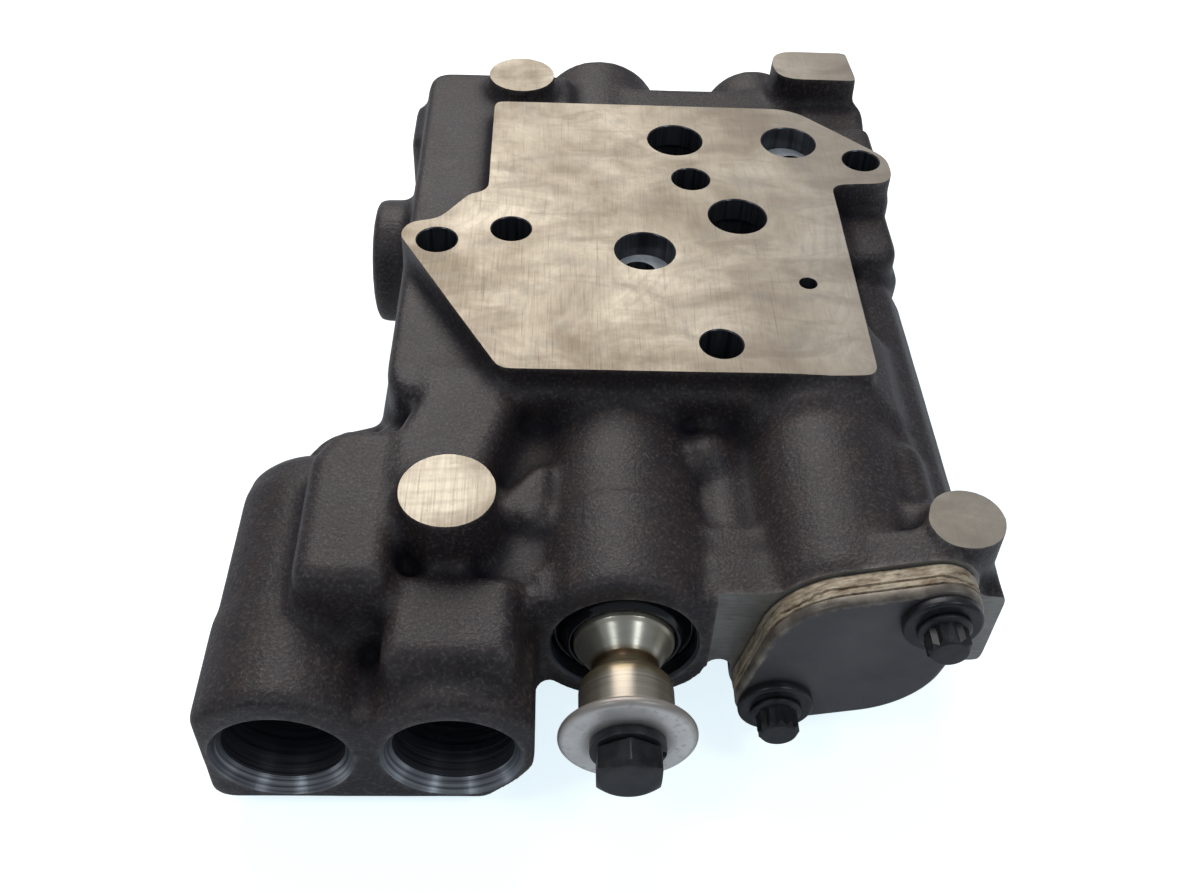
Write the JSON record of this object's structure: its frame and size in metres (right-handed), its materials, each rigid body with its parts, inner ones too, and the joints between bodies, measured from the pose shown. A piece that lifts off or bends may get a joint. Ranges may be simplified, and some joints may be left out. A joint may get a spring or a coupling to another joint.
{
  "type": "hydraulic selector valve",
  "caption": "Cast hydraulic selector valve: flat ported mounting face, sliding spool with a bolted end washer, oval bolted bore cover, and threaded hose bores in front.",
  "frame": {"origin": "on the machined port face, 0.7 mm right of the selector spool's axis", "axes": "+Z out of the port face, -Y towards the spool's free end and the front bores, +X towards the relief bore and its oval cover"},
  "size_m": [0.1778, 0.2695, 0.063],
  "materials": {
    "casting": "satin dark coating on sand-cast iron, ground bare on the port face and pads",
    "bright_steel": "turned or ground bare steel",
    "spool_steel": "polished, with a straw-coloured oil stain",
    "black_steel": "black oxide",
    "seal_rubber": "oily black",
    "spacer_plate": "weathered, rusty beige edge",
    "gasket": "matt oiled sheet",
    "cover_steel": "dark satin"
  },
  "bodies": {
    "body": {"valve_body": "casting", "cover_spacer": "spacer_plate", "cover_gasket": "gasket", "bore_cover": "cover_steel", "cover_washer_upper": "black_steel", "cover_washer_lower": "black_steel", "cover_bolt_upper": "black_steel", "cover_bolt_lower": "black_steel", "seal_shell": "black_steel", "spool_seal": "seal_rubber", "rear_plug": "black_steel", "rear_plug_washer": "bright_steel", "stop_pin": "bright_steel", "stop_plug": "black_steel", "side_plug": "black_steel", "spring_seat": "bright_steel", "relief_shim_1": "bright_steel", "relief_shim_2": "bright_steel", "load_spring": "bright_steel", "relief_spring": "bright_steel"},
    "spool": {"selector_spool": "spool_steel", "spool_end_washer": "bright_steel", "spool_lock_washer": "black_steel", "spool_end_bolt": "black_steel"},
    "load_piston_body": {"load_piston": "bright_steel"},
    "relief_spool_body": {"relief_spool": "bright_steel"}
  },
  "joints": [
    {"name": "selector_spool_slide", "type": "slide", "parent": "body", "child": "spool", "axis": [0, 1, 0], "range_m": [-0.008, 0.008]},
    {"name": "load_piston_slide", "type": "slide", "parent": "body", "child": "load_piston_body", "axis": [0, 1, 0], "range_m": [0, 0.008], "stiffness_N_per_m": 2000, "springref_m": -0.002, "deforming": ["load_spring"]},
    {"name": "relief_spool_slide", "type": "slide", "parent": "body", "child": "relief_spool_body", "axis": [0, -1, 0], "range_m": [0, 0.006], "stiffness_N_per_m": 3000, "springref_m": -0.002, "deforming": ["relief_spring"]}
  ]
}
